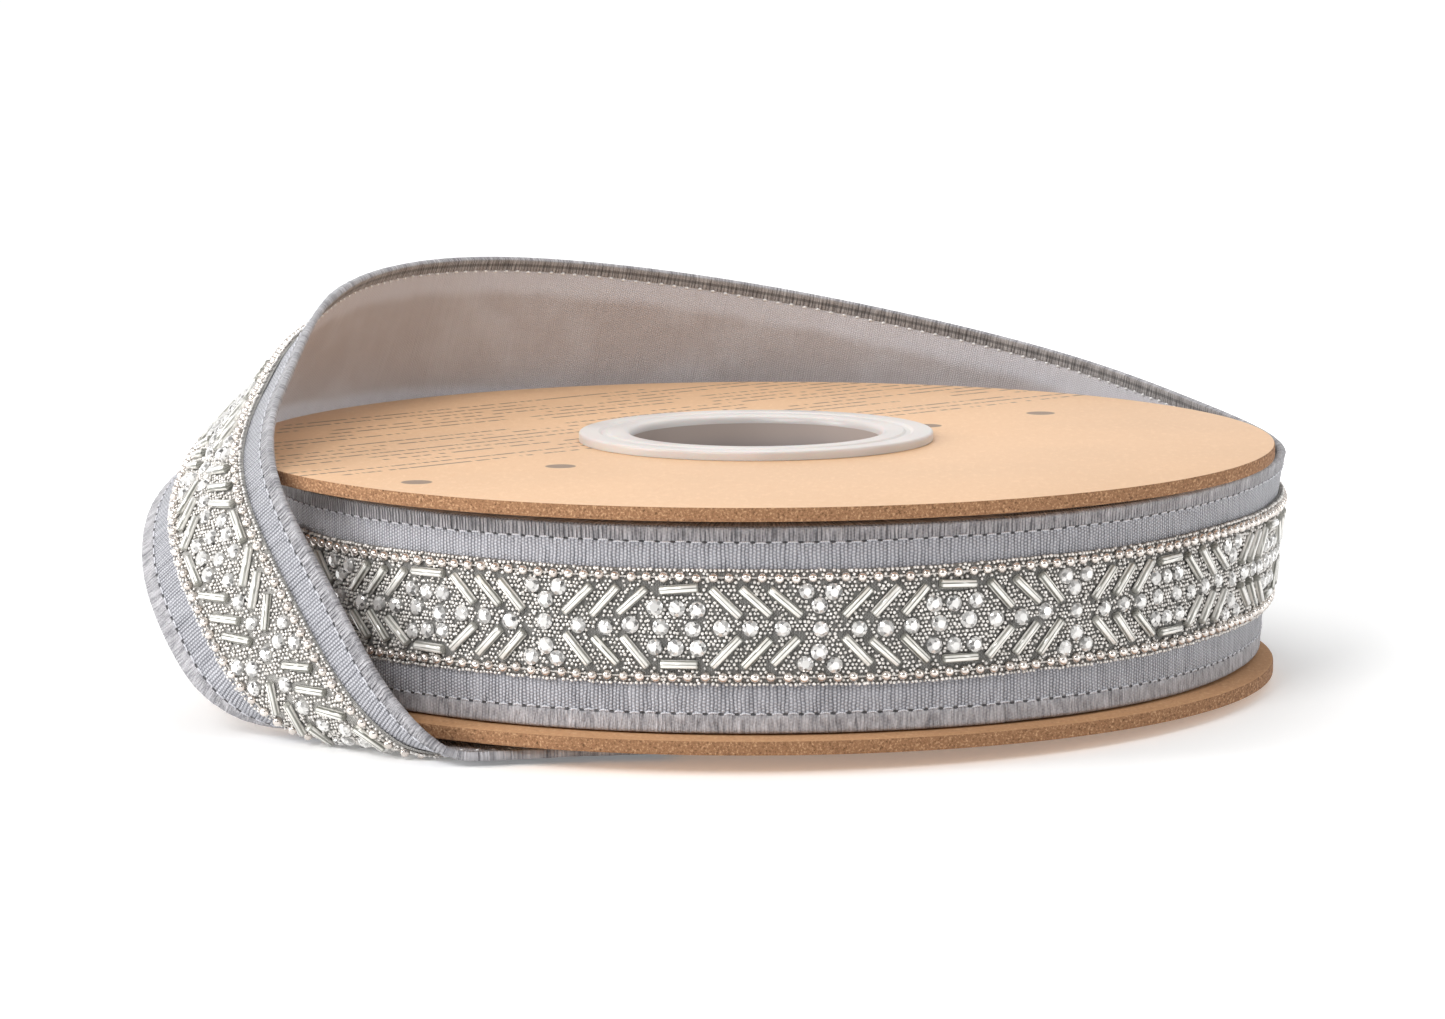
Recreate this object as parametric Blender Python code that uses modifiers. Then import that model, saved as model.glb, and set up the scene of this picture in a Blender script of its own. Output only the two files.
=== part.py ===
"""Beaded wired ribbon, wound on a chipboard spool, with its loose end tucked under the spool.

Metres, +Z up. The model is laid out round the foot of the spool's axis, on a surface at z = 0,
and at the end the whole of it is moved so that the origin is the middle of its footprint.
Azimuths are in degrees, anticlockwise from +X as seen from above, and the ribbon winds that way.
"""
from collections import namedtuple
from math import asin, cos, radians, sin

import bpy
import numpy as np
from mathutils import Matrix, Vector

MM = 0.001
GAP = 0.3 * MM                      # between pieces that touch on the real thing

# Spool, in its own frame: the underside of the bottom flange is z = 0
FLANGE_RADIUS = 101.5 * MM
FLANGE_THICKNESS = 2.6 * MM
SPOOL_HEIGHT = 45.0 * MM            # over both flanges
HOLE_RADIUS = 24.5 * MM             # through the plastic hub
SLEEVE_WALL = 2.5 * MM
COLLAR_RADIUS = 34.8 * MM
TOP_COLLAR_RISE = 1.8 * MM          # above the flange
BOTTOM_COLLAR_RISE = 0.9 * MM
COLLAR_CHAMFER = 0.6 * MM
ROUND_STEPS = 96                    # sides of every turned piece

# Ribbon and the beaded trim sewn along its middle
RIBBON_WIDTH = 38.0 * MM
RIBBON_THICKNESS = 1.2 * MM
TRIM_WIDTH = 21.5 * MM
TRIM_THICKNESS = 1.0 * MM
TRIM_FROM_LOWER_EDGE = 9.4 * MM

# The wound roll
ROLL_RADIUS = 95.4 * MM             # outer face of the last full turn
LAYER_PITCH = 2.8 * MM
ROLL_STEP_DEGREES = 3.0
LEAVING_AZIMUTH = -62.0             # where the loose end begins

# The loose end lies on the roll as far as LIFT_AZIMUTH, and then follows the rows below.
# A row joins a point of the upper edge to one of the lower edge: azimuth in degrees, radius from
# the spool's axis and height above the surface in millimetres, and the steps to the next row.
LIFT_AZIMUTH = -36.0
LIFT_ROWS = 4
LIFT_STEPS = 2
LAY_HEIGHT = TRIM_THICKNESS + GAP + RIBBON_THICKNESS / 2     # mid-cloth, with the beads beneath
LAID = LAY_HEIGHT / MM
Row = namedtuple("Row", "upper_azimuth upper_radius upper_height "
                        "lower_azimuth lower_radius lower_height steps")
TAIL_ROWS = [
    Row(-11.5, 99.0, 42.5, -11.5, 96.5, 4.5, 7),
    Row(12.0, 107.0, 42.5, 13.0, 101.0, 5.0, 7),
    Row(33.5, 110.0, 45.5, 36.0, 105.0, 8.5, 7),
    Row(55.5, 116.5, 51.5, 59.0, 112.0, 14.5, 7),
    Row(75.5, 113.0, 60.0, 79.5, 113.0, 22.5, 7),
    Row(96.0, 108.0, 68.0, 100.0, 112.0, 31.0, 7),
    Row(117.5, 102.0, 74.0, 120.0, 109.5, 37.5, 7),
    Row(138.5, 94.5, 76.0, 140.5, 108.5, 40.5, 7),
    Row(163.0, 87.5, 73.5, 160.5, 109.5, 42.0, 8),
    Row(190.0, 90.5, 63.5, 183.0, 116.0, 38.5, 8),
    Row(211.5, 104.0, 47.5, 198.0, 122.0, 26.5, 6),
    Row(223.5, 106.5, 29.0, 204.5, 121.5, 16.0, 8),
    Row(232.5, 108.5, 12.0, 208.5, 116.5, 7.0, 8),
    Row(237.0, 106.5, 4.0, 211.0, 106.5, 2.2, 7),
    Row(240.5, 102.5, LAID, 216.0, 91.0, LAID, 6),
    Row(249.0, 93.0, LAID, 221.0, 79.0, LAID, 6),
    Row(259.5, 86.5, LAID, 247.5, 51.5, LAID, 0),
]
RIBBON_LANES = 6                    # faces across the cloth
TRIM_LANES = 3

# The layers tucked under the rim tip the spool up on this side, about the rim's far point
RAISED_AZIMUTH = -125.0
TUCK_CLEARANCE = 0.45 * MM

KRAFT = (0.80, 0.52, 0.32)
PLASTIC = (0.78, 0.78, 0.80)
GREY_SILK = (0.30, 0.30, 0.34)
SILVER = (0.62, 0.60, 0.62)


def polar(azimuth, radius, height):
    """The point at an azimuth in degrees, a radius and a height."""
    return np.array([radius * cos(radians(azimuth)), radius * sin(radians(azimuth)), height])


def make_material(name, colour, roughness, metallic=0.0):
    material = bpy.data.materials.new(name)
    material.use_nodes = True
    surface = material.node_tree.nodes["Principled BSDF"]
    surface.inputs["Base Color"].default_value = (*colour, 1.0)
    surface.inputs["Roughness"].default_value = roughness
    surface.inputs["Metallic"].default_value = metallic
    return material


def add_object(name, data, material, parent):
    data.materials.append(material)
    piece = bpy.data.objects.new(name, data)
    piece.parent = parent
    collection.objects.link(piece)
    return piece


def add_empty(name, parent=None):
    empty = bpy.data.objects.new(name, None)
    empty.parent = parent
    collection.objects.link(empty)
    return empty


def turned(name, profile, material, parent):
    """A closed profile of (radius, height) points, run down its outer side, turned about +Z."""
    mesh = bpy.data.meshes.new(name)
    corners = [(radius, 0.0, height) for radius, height in profile]
    edges = [(i, (i + 1) % len(corners)) for i in range(len(corners))]
    mesh.from_pydata(corners, edges, [])
    piece = add_object(name, mesh, material, parent)
    screw = piece.modifiers.new("Turn", "SCREW")
    screw.steps = ROUND_STEPS
    screw.render_steps = ROUND_STEPS
    screw.use_merge_vertices = True
    screw.merge_threshold = 0.00001
    # A side of the rim, and not a corner, stands on the surface at the low point
    piece.rotation_euler.z = radians(RAISED_AZIMUTH + 180 - 180 / ROUND_STEPS)
    return piece


def make_flange(name, underside, material, parent):
    """A chipboard disc with a hole that clears the hub's sleeve."""
    top = underside + FLANGE_THICKNESS
    bore = HOLE_RADIUS + SLEEVE_WALL + GAP
    return turned(name, [(bore, top), (FLANGE_RADIUS, top),
                         (FLANGE_RADIUS, underside), (bore, underside)], material, parent)


def make_hub_half(name, outwards, face, rise, material, parent):
    """Half of the hub: a sleeve from the middle of the spool, and a collar over the flange.

    outwards is 1 for the top half and -1 for the bottom half, and face is its flange's outer face.
    """
    middle = SPOOL_HEIGHT / 2 + outwards * GAP / 2
    seat = face + outwards * GAP
    crown = face + outwards * rise
    chamfer = min(COLLAR_CHAMFER, (rise - GAP) / 2)
    shoulder = crown - outwards * chamfer
    sleeve = HOLE_RADIUS + SLEEVE_WALL
    profile = [(HOLE_RADIUS + chamfer, crown), (COLLAR_RADIUS - chamfer, crown),
               (COLLAR_RADIUS, shoulder), (COLLAR_RADIUS, seat), (sleeve, seat),
               (sleeve, middle), (HOLE_RADIUS, middle), (HOLE_RADIUS, shoulder)]
    if outwards < 0:
        profile.reverse()
    return turned(name, profile, material, parent)


def turn_radius(azimuth):
    """Radius of the roll's outer face: it grows by one layer in the turn up to the loose end."""
    return ROLL_RADIUS - LAYER_PITCH * (1 - (azimuth - LEAVING_AZIMUTH) / 360)


def spiral(start, end, offset):
    """Points a given distance outside the roll, from one azimuth to another, as (x, y)."""
    count = round(abs(end - start) / ROLL_STEP_DEGREES) + 1
    return [tuple(polar(azimuth, turn_radius(azimuth) + offset, 0)[:2])
            for azimuth in np.linspace(start, end, count)]


def extruded(name, outlines, low, high, material, parent):
    """Closed flat outlines, an inner one being a hole, filled and given a height."""
    curve = bpy.data.curves.new(name, "CURVE")
    curve.dimensions = "2D"
    curve.fill_mode = "BOTH"
    curve.extrude = (high - low) / 2
    for outline in outlines:
        spline = curve.splines.new("POLY")
        spline.points.add(len(outline) - 1)
        for point, (x, y) in zip(spline.points, outline):
            point.co = (x, y, 0, 1)
        spline.use_cyclic_u = True
    piece = add_object(name, curve, material, parent)
    piece.location.z = (low + high) / 2
    return piece


def natural_spline(knots, values, at):
    """Smooth cubic curves through the values, straight at both ends.

    The bending at the knots solves the usual three-term equations, and each stretch is then the
    cubic with those bendings and the values at its ends.
    """
    step = np.diff(knots)
    slope = np.diff(values, axis=0) / step[:, None]
    system = np.eye(len(knots))
    for i in range(1, len(knots) - 1):
        system[i, i - 1:i + 2] = step[i - 1], 2 * (step[i - 1] + step[i]), step[i]
    bending = np.zeros_like(values)
    bending[1:-1] = 6 * np.diff(slope, axis=0)
    bending = np.linalg.solve(system, bending)
    i = np.clip(np.searchsorted(knots, at, side="right") - 1, 0, len(step) - 1)
    h = step[i][:, None]
    after = at[:, None] - knots[i][:, None]
    before = h - after
    return ((bending[i] * before ** 3 + bending[i + 1] * after ** 3) / (6 * h)
            + (values[i] / h - bending[i] * h / 6) * before
            + (values[i + 1] / h - bending[i + 1] * h / 6) * after)


def tail_edges(spool_matrix):
    """The loose end's upper and lower edges, as two arrays of points along its length."""
    cloth_radius = ROLL_RADIUS - RIBBON_THICKNESS / 2
    low = FLANGE_THICKNESS + GAP
    first = LEAVING_AZIMUTH + np.degrees(GAP / ROLL_RADIUS)
    rows = []
    steps = []
    for azimuth in np.linspace(first, LIFT_AZIMUTH, LIFT_ROWS):
        ends = [spool_matrix @ Vector(polar(azimuth, cloth_radius, low + rise))
                for rise in (RIBBON_WIDTH, 0)]
        rows.append(np.concatenate(ends))
        steps.append(LIFT_STEPS)
    for row in TAIL_ROWS:
        upper = polar(row.upper_azimuth, row.upper_radius * MM, row.upper_height * MM)
        lower = polar(row.lower_azimuth, row.lower_radius * MM, row.lower_height * MM)
        rows.append(np.concatenate([upper, lower]))
        steps.append(row.steps)
    rows = np.array(rows)
    steps[LIFT_ROWS - 1] = TAIL_ROWS[0].steps

    moved = np.diff(rows, axis=0)
    lengths = (np.linalg.norm(moved[:, :3], axis=1) + np.linalg.norm(moved[:, 3:], axis=1)) / 2
    knots = np.concatenate([[0], np.cumsum(lengths)])
    stations = np.concatenate([np.linspace(knots[i], knots[i + 1], steps[i], endpoint=False)
                               for i in range(len(rows) - 1)] + [knots[-1:]])
    edges = natural_spline(knots, rows, stations)
    heights = np.maximum(edges[:, [2, 5]], LAY_HEIGHT)
    first_laid = LIFT_ROWS + [row.upper_height for row in TAIL_ROWS].index(LAID)
    heights[stations >= knots[first_laid]] = LAY_HEIGHT
    edges[:, [2, 5]] = heights
    return edges[:, :3], edges[:, 3:]


def strip(name, upper, lower, start, end, lanes, outside, thickness, material, parent):
    """A strip of the loose end, from start to end across its width, start at the lower edge.

    Each point is on the straight line that joins the two edges, moved out along the cloth's
    normal by outside, and Solidify gives the sheet its thickness.
    """
    across = upper - lower
    along = np.gradient((upper + lower) / 2, axis=0)
    normal = np.cross(along, across)
    normal /= np.linalg.norm(normal, axis=1)[:, None]
    share = np.linspace(start, end, lanes + 1) / RIBBON_WIDTH
    grid = lower[:, None] + share[None, :, None] * across[:, None] + outside * normal[:, None]
    rows, columns = grid.shape[:2]
    corner = np.arange(rows * columns).reshape(rows, columns)
    faces = np.stack([corner[:-1, :-1], corner[1:, :-1], corner[1:, 1:], corner[:-1, 1:]], axis=-1)
    mesh = bpy.data.meshes.new(name)
    mesh.from_pydata(grid.reshape(-1, 3).tolist(), [], faces.reshape(-1, 4).tolist())
    piece = add_object(name, mesh, material, parent)
    solidify = piece.modifiers.new("Thickness", "SOLIDIFY")
    solidify.thickness = thickness
    solidify.offset = 0
    return piece


def spool_tilt():
    """The turn that rests the rim on the surface and clears the layers tucked beneath it."""
    end = TAIL_ROWS[-1]
    reach = end.lower_radius * MM * cos(radians(end.lower_azimuth - RAISED_AZIMUTH))
    stack = LAY_HEIGHT + RIBBON_THICKNESS / 2 + TUCK_CLEARANCE
    tilt = asin(stack / (FLANGE_RADIUS + reach))
    low_point = Vector(polar(RAISED_AZIMUTH + 180, FLANGE_RADIUS * cos(radians(180 / ROUND_STEPS)), 0))
    hinge = Vector((sin(radians(RAISED_AZIMUTH)), -cos(radians(RAISED_AZIMUTH)), 0))
    return (Matrix.Translation(low_point) @ Matrix.Rotation(tilt, 4, hinge)
            @ Matrix.Translation(-low_point))


def stand_on_origin(base, pieces):
    """Move everything so that the box round the pieces stands on z = 0 with its middle at x = y = 0."""
    bpy.context.view_layer.update()
    graph = bpy.context.evaluated_depsgraph_get()
    corners = []
    for piece in pieces:
        shown = piece.evaluated_get(graph)
        mesh = shown.to_mesh()
        points = np.empty(len(mesh.vertices) * 3)
        mesh.vertices.foreach_get("co", points)
        placed = points.reshape(-1, 3) @ np.array(shown.matrix_world.to_3x3()).T
        corners.append(placed + np.array(shown.matrix_world.translation))
        shown.to_mesh_clear()
    corners = np.concatenate(corners)
    low, high = corners.min(axis=0), corners.max(axis=0)
    base.location = (-(low[0] + high[0]) / 2, -(low[1] + high[1]) / 2, -low[2])


for leftover in list(bpy.data.objects):
    bpy.data.objects.remove(leftover, do_unlink=True)
collection = bpy.data.collections.new("Wired ribbon on a spool")
bpy.context.scene.collection.children.link(collection)

kraft = make_material("Kraft chipboard", KRAFT, 0.85)
plastic = make_material("Milky plastic", PLASTIC, 0.45)
silk = make_material("Grey silk cloth", GREY_SILK, 0.55)
beads = make_material("Silver beads", SILVER, 0.3, metallic=0.8)

base = add_empty("base")
spool = add_empty("spool", base)
spool_matrix = spool_tilt()
spool.matrix_local = spool_matrix

roll_low = FLANGE_THICKNESS + GAP
trim_low = roll_low + TRIM_FROM_LOWER_EDGE
full_turn = LEAVING_AZIMUTH + 360
trim_end_gap = np.degrees(2 * GAP / ROLL_RADIUS)
roll_bore = [tuple(polar(azimuth, HOLE_RADIUS + SLEEVE_WALL + GAP, 0)[:2])
             for azimuth in np.arange(0, 360, 2 * ROLL_STEP_DEGREES)]
trim_outline = (spiral(LEAVING_AZIMUTH + trim_end_gap, full_turn - trim_end_gap,
                       GAP + TRIM_THICKNESS)
                + spiral(full_turn - trim_end_gap, LEAVING_AZIMUTH + trim_end_gap, GAP))
upper_edge, lower_edge = tail_edges(spool_matrix)
trim_outside = RIBBON_THICKNESS / 2 + GAP + TRIM_THICKNESS / 2

pieces = [
    make_flange("flange_bottom", 0, kraft, spool),
    make_flange("flange_top", SPOOL_HEIGHT - FLANGE_THICKNESS, kraft, spool),
    make_hub_half("hub_bottom", -1, 0, BOTTOM_COLLAR_RISE, plastic, spool),
    make_hub_half("hub_top", 1, SPOOL_HEIGHT, TOP_COLLAR_RISE, plastic, spool),
    extruded("ribbon_roll", [spiral(LEAVING_AZIMUTH, full_turn, 0), roll_bore],
             roll_low, roll_low + RIBBON_WIDTH, silk, spool),
    extruded("trim_roll", [trim_outline], trim_low, trim_low + TRIM_WIDTH, beads, spool),
    strip("ribbon_tail", upper_edge, lower_edge, 0, RIBBON_WIDTH, RIBBON_LANES, 0,
          RIBBON_THICKNESS, silk, base),
    strip("trim_tail", upper_edge, lower_edge, TRIM_FROM_LOWER_EDGE,
          TRIM_FROM_LOWER_EDGE + TRIM_WIDTH, TRIM_LANES, trim_outside,
          TRIM_THICKNESS, beads, base),
]
stand_on_origin(base, pieces)
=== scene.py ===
# A beaded wired ribbon on a chipboard spool, its loose end tucked beneath the rim.
# Shapes are worked out in millimetres round the foot of the spool's axis, and addMesh moves them
# to the frame. Flat places on the ribbon are (s, v): s runs along it, negative on the wound roll
# and positive on the loose end, and v rises from its lower edge.
import bpy
import numpy as np
from mathutils import Matrix, Vector


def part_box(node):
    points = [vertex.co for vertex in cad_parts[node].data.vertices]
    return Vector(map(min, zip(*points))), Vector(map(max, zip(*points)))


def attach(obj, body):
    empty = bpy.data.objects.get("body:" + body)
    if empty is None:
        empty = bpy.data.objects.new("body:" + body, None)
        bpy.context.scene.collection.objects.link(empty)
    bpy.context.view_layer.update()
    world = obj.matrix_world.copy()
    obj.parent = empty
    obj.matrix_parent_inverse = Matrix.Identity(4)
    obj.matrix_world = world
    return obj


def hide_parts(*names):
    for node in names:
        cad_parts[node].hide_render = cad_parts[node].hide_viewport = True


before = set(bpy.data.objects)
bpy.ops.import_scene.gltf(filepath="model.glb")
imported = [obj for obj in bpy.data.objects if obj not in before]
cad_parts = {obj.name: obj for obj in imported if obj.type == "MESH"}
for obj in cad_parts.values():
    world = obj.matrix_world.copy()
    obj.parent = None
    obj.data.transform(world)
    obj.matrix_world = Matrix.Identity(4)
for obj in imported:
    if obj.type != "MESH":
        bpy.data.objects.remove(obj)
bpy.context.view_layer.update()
mm = 0.001
dice = np.random.default_rng(11)

spool = dict(
    flangeRadius=101.5, flangeThickness=2.6, height=45.0, holeRadius=24.5, sleeveWall=2.5,
    collarRadius=34.8, topCollarRise=1.8, bottomCollarRise=0.9, gap=0.3,
    rimSides=96, raisedAzimuth=-125.0, tuckClearance=0.45,
)
ribbon = dict(
    width=38.0, solidThickness=1.2, clothThickness=1.0, rollRadius=95.4, layerPitch=2.8,
    leavingAzimuth=-62.0, liftAzimuth=-36.0, liftRows=4, layHeight=1.9,
)
# Rows of the loose end: azimuth, radius and height of its upper edge, then of its lower edge
tailRows = np.array([
    (-11.5, 99.0, 42.5, -11.5, 96.5, 4.5),
    (12.0, 107.0, 42.5, 13.0, 101.0, 5.0),
    (33.5, 110.0, 45.5, 36.0, 105.0, 8.5),
    (55.5, 116.5, 51.5, 59.0, 112.0, 14.5),
    (75.5, 113.0, 60.0, 79.5, 113.0, 22.5),
    (96.0, 108.0, 68.0, 100.0, 112.0, 31.0),
    (117.5, 102.0, 74.0, 120.0, 109.5, 37.5),
    (138.5, 94.5, 76.0, 140.5, 108.5, 40.5),
    (163.0, 87.5, 73.5, 160.5, 109.5, 42.0),
    (190.0, 90.5, 63.5, 183.0, 116.0, 38.5),
    (211.5, 104.0, 47.5, 198.0, 122.0, 26.5),
    (223.5, 106.5, 29.0, 204.5, 121.5, 16.0),
    (232.5, 108.5, 12.0, 208.5, 116.5, 7.0),
    (237.0, 106.5, 4.0, 211.0, 106.5, 2.2),
    (240.5, 102.5, ribbon["layHeight"], 216.0, 91.0, ribbon["layHeight"]),
    (249.0, 93.0, ribbon["layHeight"], 221.0, 79.0, ribbon["layHeight"]),
    (259.5, 86.5, ribbon["layHeight"], 247.5, 51.5, ribbon["layHeight"]),
])
laidRow = 14        # from this row on the ribbon lies on the surface
floorGap = 0.02     # cloth and beads come no closer to the surface beneath
clothLow = spool["flangeThickness"] + spool["gap"]      # where the wound cloth begins
boreRadius = spool["holeRadius"] + spool["sleeveWall"] + spool["gap"]


def polar(azimuth, radius, height):
    # the point at an azimuth in degrees, a radius and a height, for arrays of any one shape
    turn = np.radians(azimuth)
    return np.stack(np.broadcast_arrays(radius * np.cos(turn), radius * np.sin(turn), height), -1)


def unit(vectors):
    return vectors / np.linalg.norm(vectors, axis=-1, keepdims=True)


def makeTilt():
    # turns the spool about the far point of its rim, just enough for the tucked layers to clear it
    end = tailRows[-1]
    reach = end[4] * np.cos(np.radians(end[3] - spool["raisedAzimuth"]))
    stack = ribbon["layHeight"] + ribbon["solidThickness"] / 2 + spool["tuckClearance"]
    angle = np.arcsin(stack / (spool["flangeRadius"] + reach))
    flat = spool["flangeRadius"] * np.cos(np.pi / spool["rimSides"])
    low = Vector(polar(spool["raisedAzimuth"] + 180, flat, 0))
    hinge = Vector(polar(spool["raisedAzimuth"] - 90, 1, 0))
    return np.array(Matrix.Translation(low) @ Matrix.Rotation(angle, 4, hinge)
                    @ Matrix.Translation(-low))


tilt = makeTilt()


def onSpool(points):
    # from the spool's own frame, where its underside is z = 0, to the frame it is tipped up in
    return points @ tilt[:3, :3].T + tilt[:3, 3]


lowCorner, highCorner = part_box("flange_bottom")
discMiddle = onSpool(np.array([0, 0, spool["flangeThickness"] / 2]))
shift = np.array((lowCorner + highCorner) / 2) - discMiddle * mm
shift[2] = 0


def addMesh(name, points, faces, materials, replaced=None, flat=None, smooth=True,
            picks=None, tint=None):
    # points in millimetres; faces is one array, or a list of them, of corner numbers; flat gives a
    # point's place in the UV map, picks each face's material, and the last a number for each face:
    # a tone, and painted glints on a stone's facets
    blocks = faces if isinstance(faces, list) else [faces]
    corners = np.concatenate([block.ravel() for block in blocks])
    sizes = np.concatenate([np.full(len(block), block.shape[1]) for block in blocks])
    starts = np.concatenate([[0], np.cumsum(sizes)[:-1]])
    mesh = bpy.data.meshes.new(name)
    mesh.vertices.add(len(points))
    mesh.vertices.foreach_set("co", (points * mm + shift).astype(np.float32).ravel())
    mesh.loops.add(len(corners))
    mesh.loops.foreach_set("vertex_index", corners.astype(np.int32))
    mesh.polygons.add(len(sizes))
    mesh.polygons.foreach_set("loop_start", starts.astype(np.int32))
    mesh.polygons.foreach_set("use_smooth", np.full(len(sizes), smooth))
    if picks is not None:
        mesh.polygons.foreach_set("material_index", picks.astype(np.int32))
    mesh.update(calc_edges=True)
    if flat is not None:
        layer = mesh.uv_layers.new(name="flat")
        layer.data.foreach_set("uv", flat[corners].astype(np.float32).ravel())
    if tint is not None:
        share = mesh.attributes.new("tint", "FLOAT", "FACE")
        share.data.foreach_set("value", tint.astype(np.float32))
    for material in materials if isinstance(materials, list) else [materials]:
        mesh.materials.append(material)
    piece = bpy.data.objects.new(name, mesh)
    bpy.context.scene.collection.objects.link(piece)
    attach(piece, "root")
    if replaced:
        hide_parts(replaced)
    return piece


def gridFaces(rows, columns, roundRows=False, roundColumns=False):
    # four-sided faces between neighbours of a rows by columns grid, closed round where asked
    corner = np.arange(rows * columns).reshape(rows, columns)
    if roundRows:
        corner = np.concatenate([corner, corner[:1]], axis=0)
    if roundColumns:
        corner = np.concatenate([corner, corner[:, :1]], axis=1)
    return np.stack([corner[:-1, :-1], corner[1:, :-1], corner[1:, 1:], corner[:-1, 1:]],
                    axis=-1).reshape(-1, 4)


def tubeFaces(rows, columns):
    # a tube of rings with an even number of points: the grid between the rings, and each end
    # closed with a strip that runs between the two halves of its ring
    ring = np.arange(columns)
    a, b = ring[:columns // 2], ring[::-1][:columns // 2]
    cap = np.stack([a[:-1], a[1:], b[1:], b[:-1]], axis=-1)
    return np.concatenate([gridFaces(rows, columns, roundColumns=True), cap,
                           cap[:, ::-1] + (rows - 1) * columns])


def addTube(name, loops, s, across, materials, replaced, isInner=None):
    # a closed tube of loops of points, one at each s; across is the UV place of each point of a
    # loop, and isInner marks the columns of faces that take the second material
    rows, columns = loops.shape[:2]
    flat = np.stack(np.broadcast_arrays(s, across), -1).reshape(-1, 2)
    picks = None
    if isInner is not None:
        picks = np.concatenate([np.tile(isInner, rows - 1), np.zeros(columns - 2, int)])
    return addMesh(name, loops.reshape(-1, 3), tubeFaces(rows, columns), materials, replaced,
                   flat=flat, picks=picks)


def turned(profile, steps):
    # a closed (radius, height) profile turned about the spool's axis: a grid of steps by points
    azimuth = np.linspace(0, 360, steps, endpoint=False)[:, None]
    return polar(azimuth, profile[None, :, 0], profile[None, :, 1])


def addTurned(name, points, outwards, materials, replaced, pick):
    # a turned piece on the tipped spool: outwards is -1 for a profile drawn upside down, which
    # already has its faces outward, and pick is a material for each column of faces
    steps, columns = points.shape[:2]
    faces = gridFaces(steps, columns, roundRows=True, roundColumns=True)
    return addMesh(name, onSpool(points).reshape(-1, 3), faces[:, ::-outwards], materials,
                   replaced, picks=np.tile(pick, steps))


def roundedLoop(corners, radii, steps=4):
    # a closed outline whose corners are arcs: each arc is a quadratic curve that leaves the corner
    # by its radius along both sides
    corners = np.array(corners, float)
    before, after = np.roll(corners, 1, axis=0), np.roll(corners, -1, axis=0)
    radii = np.array(radii, float)[:, None]
    start = corners + unit(before - corners) * radii
    end = corners + unit(after - corners) * radii
    t = np.linspace(0, 1, steps + 1)[:, None, None]
    arcs = (1 - t) ** 2 * start + 2 * t * (1 - t) * corners + t ** 2 * end
    return arcs.transpose(1, 0, 2).reshape(-1, 2)


print("spool frame ready")


# The ribbon's path

def naturalSpline(knots, values, at):
    # smooth cubics through the values: the bending at each knot solves the three-term equations,
    # and each stretch is the cubic with those bendings and values at its ends
    step = np.diff(knots)
    slope = np.diff(values, axis=0) / step[:, None]
    system = np.eye(len(knots))
    for i in range(1, len(knots) - 1):
        system[i, i - 1:i + 2] = step[i - 1], 2 * (step[i - 1] + step[i]), step[i]
    bending = np.zeros_like(values)
    bending[1:-1] = 6 * np.diff(slope, axis=0)
    bending = np.linalg.solve(system, bending)
    i = np.clip(np.searchsorted(knots, at, side="right") - 1, 0, len(step) - 1)
    h = step[i][:, None]
    after = at[:, None] - knots[i][:, None]
    before = h - after
    return ((bending[i] * before ** 3 + bending[i + 1] * after ** 3) / (6 * h)
            + (values[i] / h - bending[i] * h / 6) * before
            + (values[i + 1] / h - bending[i + 1] * h / 6) * after)


def makeTail(stations=2400):
    # the loose end's two edges at many stations, their running lengths and their directions
    azimuth = np.linspace(ribbon["leavingAzimuth"], ribbon["liftAzimuth"], ribbon["liftRows"])
    radius = ribbon["rollRadius"] - ribbon["solidThickness"] / 2
    onRoll = [onSpool(polar(azimuth, radius, clothLow + rise)) for rise in (ribbon["width"], 0)]
    free = [polar(tailRows[:, i], tailRows[:, i + 1], tailRows[:, i + 2]) for i in (0, 3)]
    rows = np.concatenate([np.concatenate(onRoll, axis=1), np.concatenate(free, axis=1)])
    moved = np.diff(rows, axis=0)
    lengths = (np.linalg.norm(moved[:, :3], axis=1) + np.linalg.norm(moved[:, 3:], axis=1)) / 2
    knots = np.concatenate([[0], np.cumsum(lengths)])
    at = np.linspace(0, knots[-1], stations)
    edges = naturalSpline(knots, rows, at)
    heights = np.maximum(edges[:, [2, 5]], ribbon["layHeight"])
    heights[at >= knots[ribbon["liftRows"] + laidRow]] = ribbon["layHeight"]
    edges[:, [2, 5]] = heights
    upper, lower = edges[:, :3], edges[:, 3:]
    runs = [np.concatenate([[0], np.cumsum(np.linalg.norm(np.diff(edge, axis=0), axis=1))])
            for edge in (upper, lower)]
    return dict(at=at, upper=upper, lower=lower, upperRun=runs[0], lowerRun=runs[1],
                upperWay=np.gradient(upper, at, axis=0), lowerWay=np.gradient(lower, at, axis=0))


tail = makeTail()
tailLength = (tail["upperRun"][-1] + tail["lowerRun"][-1]) / 2
rollLength = 2 * np.pi * ribbon["rollRadius"]


def readTail(line, k):
    return np.stack([np.interp(k, tail["at"], tail[line][:, i]) for i in range(3)], -1)


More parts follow.
